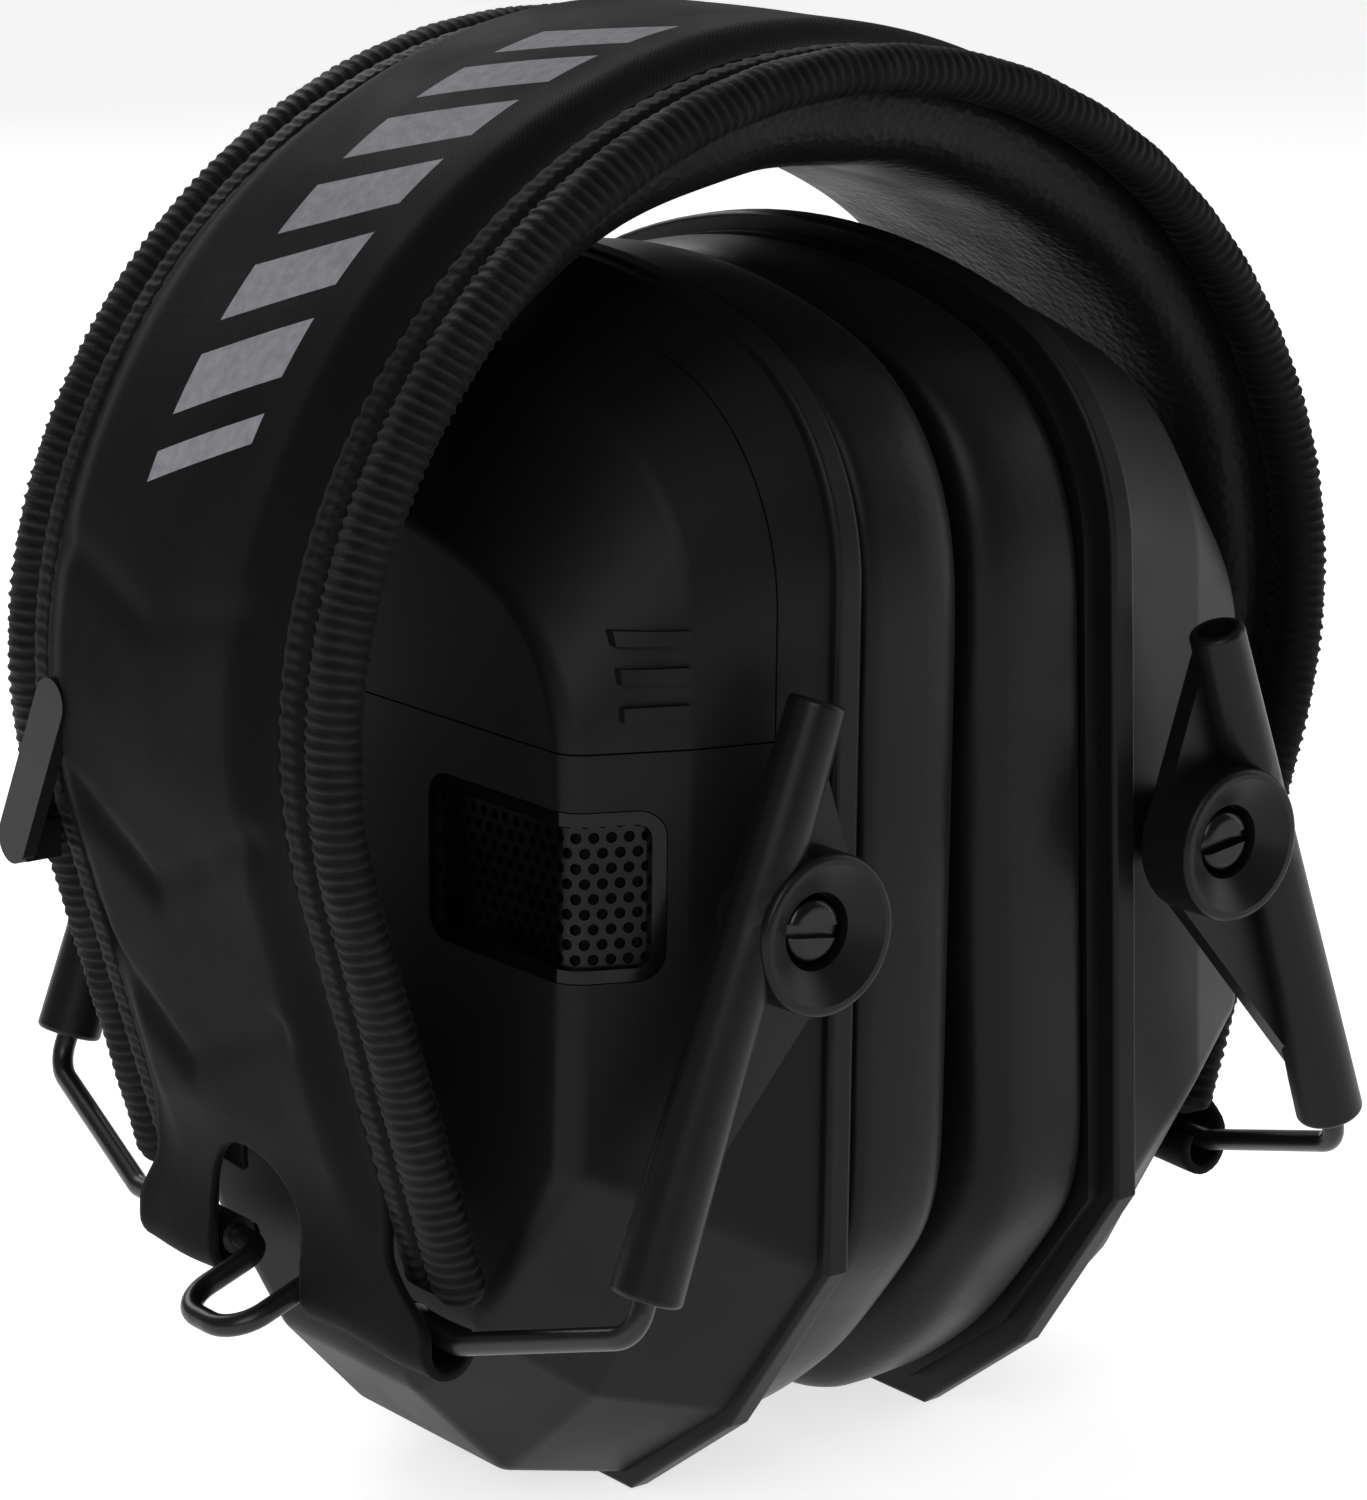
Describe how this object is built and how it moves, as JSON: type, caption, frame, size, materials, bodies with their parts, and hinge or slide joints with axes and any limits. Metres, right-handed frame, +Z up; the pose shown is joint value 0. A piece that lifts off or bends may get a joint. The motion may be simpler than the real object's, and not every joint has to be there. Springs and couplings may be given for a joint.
{
  "type": "earmuff hearing protector",
  "caption": "Folding electronic earmuff with two padded ear cups on wire yokes, stored folded under a fabric-covered headband with ribbed edges.",
  "frame": {"origin": "centre of the bounding box at its lowest level, between the tips of the two folded cups", "axes": "+X across the head from the cup with the battery cover to the cup with the volume knob, +Y from front to rear, +Z up through the crown of the headband"},
  "size_m": [0.1168, 0.0948, 0.1303],
  "materials": {
    "cover_fabric": "matte knitted fabric with a soft nap",
    "edge_binding": "ribbed overlock thread, slight sheen",
    "pad_leather": "fine-grained synthetic leather",
    "cushion_leather": "smooth satin synthetic leather",
    "foam": "open-cell foam",
    "spring_steel": "satin spring steel",
    "black_wire": "satin black coating",
    "shell_plastic": "satin moulded plastic",
    "arm_plastic": "satin moulded nylon",
    "base_plastic": "satin moulded plastic",
    "gloss_black": "glossy black",
    "grille_metal": "perforated metal, satin grey",
    "screw_metal": "glossy black plated steel",
    "hinge_metal": "plain steel tube",
    "board_green": "solder-masked board",
    "battery_wrap": "printed film wrap",
    "jack_metal": "plated contact tube"
  },
  "bodies": {
    "headband": {"band_outer_cover": "cover_fabric", "band_foam": "foam", "band_spring_strip": "spring_steel", "band_inner_pad": "pad_leather", "band_edge_front": "edge_binding", "band_edge_rear": "edge_binding", "right_hinge_sleeves": "hinge_metal", "right_end_hem": "cover_fabric"},
    "left_band_end": {"left_hinge_sleeves": "hinge_metal", "left_end_hem": "cover_fabric", "cable_clip": "arm_plastic"},
    "left_yoke": {"left_wire_yoke": "black_wire"},
    "left_arms": {"left_arm_front": "arm_plastic", "left_arm_rear": "arm_plastic"},
    "left_cup": {"left_cup_base": "base_plastic", "left_ear_cushion": "cushion_leather", "left_ear_foam": "foam", "left_speaker": "gloss_black", "left_circuit_board": "board_green", "left_microphone": "jack_metal", "left_microphone_bezel": "gloss_black", "left_microphone_grille": "grille_metal", "left_shell_screws": "screw_metal", "left_cup_shell": "shell_plastic", "left_pivot_screws": "screw_metal", "left_battery_tray": "base_plastic", "left_battery_cells": "battery_wrap"},
    "right_yoke": {"right_wire_yoke": "black_wire"},
    "right_arms": {"right_arm_front": "arm_plastic", "right_arm_rear": "arm_plastic"},
    "right_cup": {"right_cup_base": "base_plastic", "right_ear_cushion": "cushion_leather", "right_ear_foam": "foam", "right_speaker": "gloss_black", "right_circuit_board": "board_green", "right_microphone": "jack_metal", "right_microphone_bezel": "gloss_black", "right_microphone_grille": "grille_metal", "right_shell_screws": "screw_metal", "right_cup_shell": "shell_plastic", "right_pivot_screws": "screw_metal", "right_audio_jack": "jack_metal"},
    "left_battery_door": {"left_battery_cover": "shell_plastic"},
    "right_knob": {"right_volume_knob": "arm_plastic"}
  },
  "joints": [
    {"name": "band_spread", "type": "hinge", "parent": "headband", "child": "left_band_end", "pos_m": [0, 0, 0.11097], "axis": [0, 1, 0], "range_deg": [0, 30], "stiffness_Nm_per_rad": 1.5, "deforming": ["band_outer_cover", "band_foam", "band_spring_strip", "band_inner_pad", "band_edge_front", "band_edge_rear"]},
    {"name": "left_fold", "type": "hinge", "parent": "left_band_end", "child": "left_yoke", "pos_m": [-0.044, 0, 0.02387], "axis": [0, 1, 0], "range_deg": [0, 122], "deforming": ["left_ear_cushion"]},
    {"name": "left_height", "type": "slide", "parent": "left_yoke", "child": "left_arms", "axis": [0.3413, 0, 0.94], "range_m": [-0.001, 0.003]},
    {"name": "left_swivel", "type": "hinge", "parent": "left_arms", "child": "left_cup", "pos_m": [-0.0234, 0, 0.06097], "axis": [0, 1, 0], "range_deg": [-122, 0]},
    {"name": "right_fold", "type": "hinge", "parent": "headband", "child": "right_yoke", "pos_m": [0.044, 0, 0.02387], "axis": [0, -1, 0], "range_deg": [0, 122], "deforming": ["right_ear_cushion"]},
    {"name": "right_height", "type": "slide", "parent": "right_yoke", "child": "right_arms", "axis": [-0.3413, 0, 0.94], "range_m": [-0.001, 0.003]},
    {"name": "right_swivel", "type": "hinge", "parent": "right_arms", "child": "right_cup", "pos_m": [0.0234, 0, 0.06097], "axis": [0, -1, 0], "range_deg": [-122, 0]},
    {"name": "battery_cover_slide", "type": "slide", "parent": "left_cup", "child": "left_battery_door", "axis": [0, 0, 1], "range_m": [0, 0.0032]},
    {"name": "volume_knob_turn", "type": "hinge", "parent": "right_cup", "child": "right_knob", "pos_m": [0.02525, 0.038, 0.03704], "axis": [0, 1, 0], "range_deg": [0, 270]}
  ],
  "couplings": [
    {"joint": "left_swivel", "follows": "left_fold", "ratio": -1},
    {"joint": "right_swivel", "follows": "right_fold", "ratio": -1}
  ]
}
